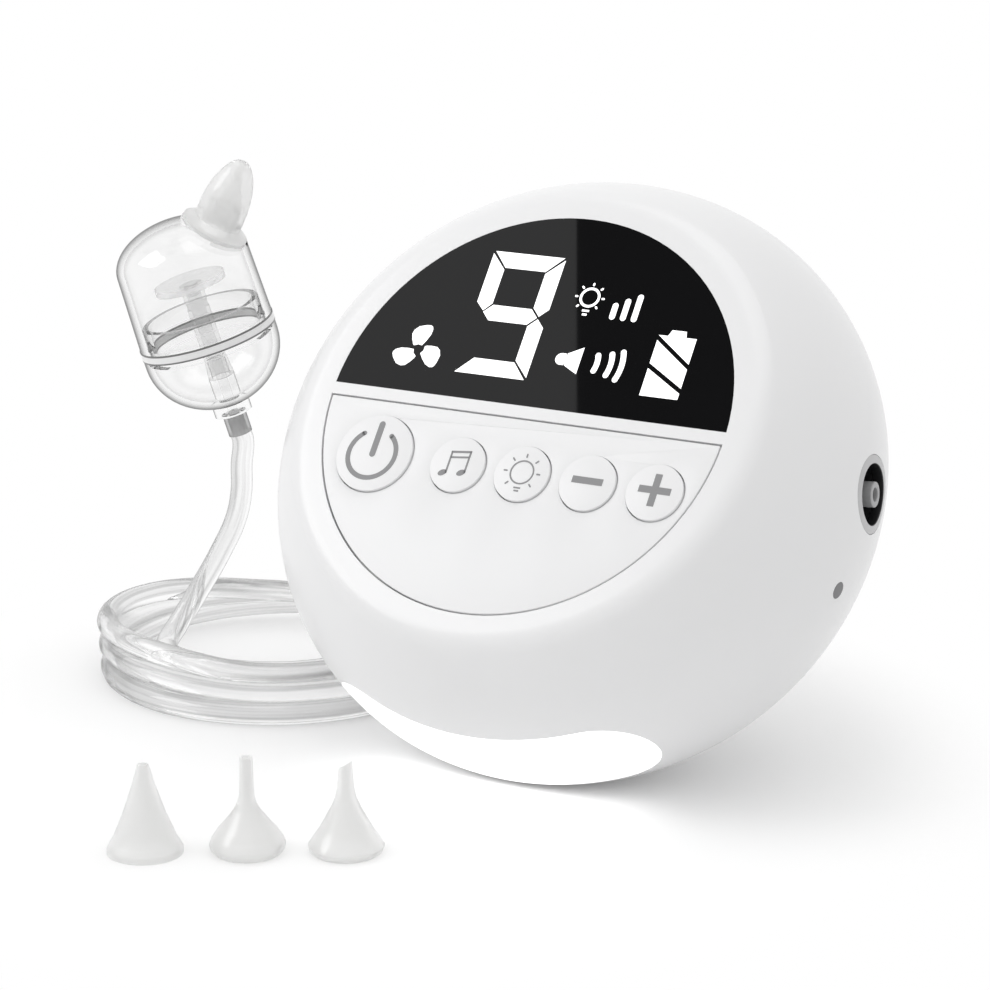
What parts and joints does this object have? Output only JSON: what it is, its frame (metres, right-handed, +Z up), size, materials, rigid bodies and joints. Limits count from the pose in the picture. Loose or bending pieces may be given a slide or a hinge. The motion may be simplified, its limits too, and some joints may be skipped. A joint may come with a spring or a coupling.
{
  "type": "nasal aspirator",
  "caption": "Round tabletop nasal aspirator with a tilted face, display window, press buttons, night light and air port, a clear collection cup on a coiled hose, and spare silicone tips.",
  "frame": {"origin": "centre of the underside of the unit's base foot, on the surface that it stands on", "axes": "+Z up, -Y to the front where the face looks, +X to the side with the air port"},
  "size_m": [0.174, 0.148, 0.1084],
  "materials": {
    "white_gloss": "glossy",
    "white_panel": "satin",
    "foot_rubber": "matte",
    "dark_window": "glossy tinted",
    "grey_silicone": "satin",
    "black_plastic": "matte",
    "circuit_board": "satin",
    "steel": "satin",
    "lens_white": "frosted, lit",
    "led_yellow": "satin",
    "grey_light_pipe": "satin",
    "grey_ring": "satin",
    "grey_plastic": "satin",
    "clear_hose": "clear soft tube",
    "black_rubber": "matte",
    "battery_wrap": "satin",
    "clear_plastic": "clear glossy",
    "milky_plastic": "milky",
    "milky_silicone": "milky satin"
  },
  "bodies": {
    "main_unit": {"front_shell": "white_gloss", "rear_cover": "white_gloss", "base_foot": "foot_rubber", "display_window": "dark_window", "control_panel": "white_panel", "keypad_mat": "grey_silicone", "key_switches": "black_plastic", "display_board": "circuit_board", "display_block": "black_plastic", "board_screws": "steel", "night_light_lens": "lens_white", "light_board": "circuit_board", "glow_leds": "led_yellow", "charge_light": "grey_light_pipe", "port_ring": "grey_ring", "port_cup": "black_plastic", "air_spigot": "grey_plastic", "suction_tube": "clear_hose", "pump_bracket": "black_plastic", "pump_motor": "steel", "pump_head": "black_plastic", "pump_diaphragm": "black_rubber", "pump_cap": "black_plastic", "pump_screws": "steel", "battery_cell": "battery_wrap", "battery_cradle": "black_plastic", "speaker": "black_plastic", "usb_socket": "steel", "usb_board": "circuit_board", "shell_screws": "steel", "cup_bowl": "clear_plastic", "cup_seal_ring": "grey_silicone", "standpipe": "milky_plastic", "baffle_disc": "milky_plastic", "hose_sleeve": "grey_silicone", "hose_tube": "clear_hose", "hose_coil": "clear_hose"},
    "power_button": {"power_button": "white_panel"},
    "music_button": {"music_button": "white_panel"},
    "light_button": {"light_button": "white_panel"},
    "minus_button": {"minus_button": "white_panel"},
    "plus_button": {"plus_button": "white_panel"},
    "pump_rotor": {"pump_rotor": "steel"},
    "cup_dome": {"cup_dome": "clear_plastic"},
    "nozzle": {"nozzle": "milky_silicone"},
    "cone_tip": {"cone_tip": "milky_silicone"},
    "long_tip": {"long_tip": "milky_silicone"},
    "short_tip": {"short_tip": "milky_silicone"}
  },
  "joints": [
    {"name": "power_press", "type": "slide", "parent": "main_unit", "child": "power_button", "axis": [0, 0.7771, -0.6293], "range_m": [0, 0.0005], "stiffness_N_per_m": 180},
    {"name": "music_press", "type": "slide", "parent": "main_unit", "child": "music_button", "axis": [0, 0.7771, -0.6293], "range_m": [0, 0.0005], "stiffness_N_per_m": 180},
    {"name": "light_press", "type": "slide", "parent": "main_unit", "child": "light_button", "axis": [0, 0.7771, -0.6293], "range_m": [0, 0.0005], "stiffness_N_per_m": 180},
    {"name": "minus_press", "type": "slide", "parent": "main_unit", "child": "minus_button", "axis": [0, 0.7771, -0.6293], "range_m": [0, 0.0005], "stiffness_N_per_m": 180},
    {"name": "plus_press", "type": "slide", "parent": "main_unit", "child": "plus_button", "axis": [0, 0.7771, -0.6293], "range_m": [0, 0.0005], "stiffness_N_per_m": 180},
    {"name": "pump_spin", "type": "hinge", "parent": "main_unit", "child": "pump_rotor", "pos_m": [0, 0.01689, 0.05916], "axis": [1, 0, 0], "continuous": true},
    {"name": "dome_lift", "type": "slide", "parent": "main_unit", "child": "cup_dome", "axis": [-0.2272, -0.184, 0.9563], "range_m": [0, 0.05]},
    {"name": "nozzle_pull", "type": "slide", "parent": "cup_dome", "child": "nozzle", "axis": [0.467, 0.0872, 0.8799], "range_m": [0, 0.03]},
    {"name": "cone_tip_lift", "type": "slide", "parent": "main_unit", "child": "cone_tip", "axis": [0, 0, 1], "range_m": [0, 0.04]},
    {"name": "long_tip_lift", "type": "slide", "parent": "main_unit", "child": "long_tip", "axis": [0, 0, 1], "range_m": [0, 0.04]},
    {"name": "short_tip_lift", "type": "slide", "parent": "main_unit", "child": "short_tip", "axis": [0, 0, 1], "range_m": [0, 0.04]}
  ]
}
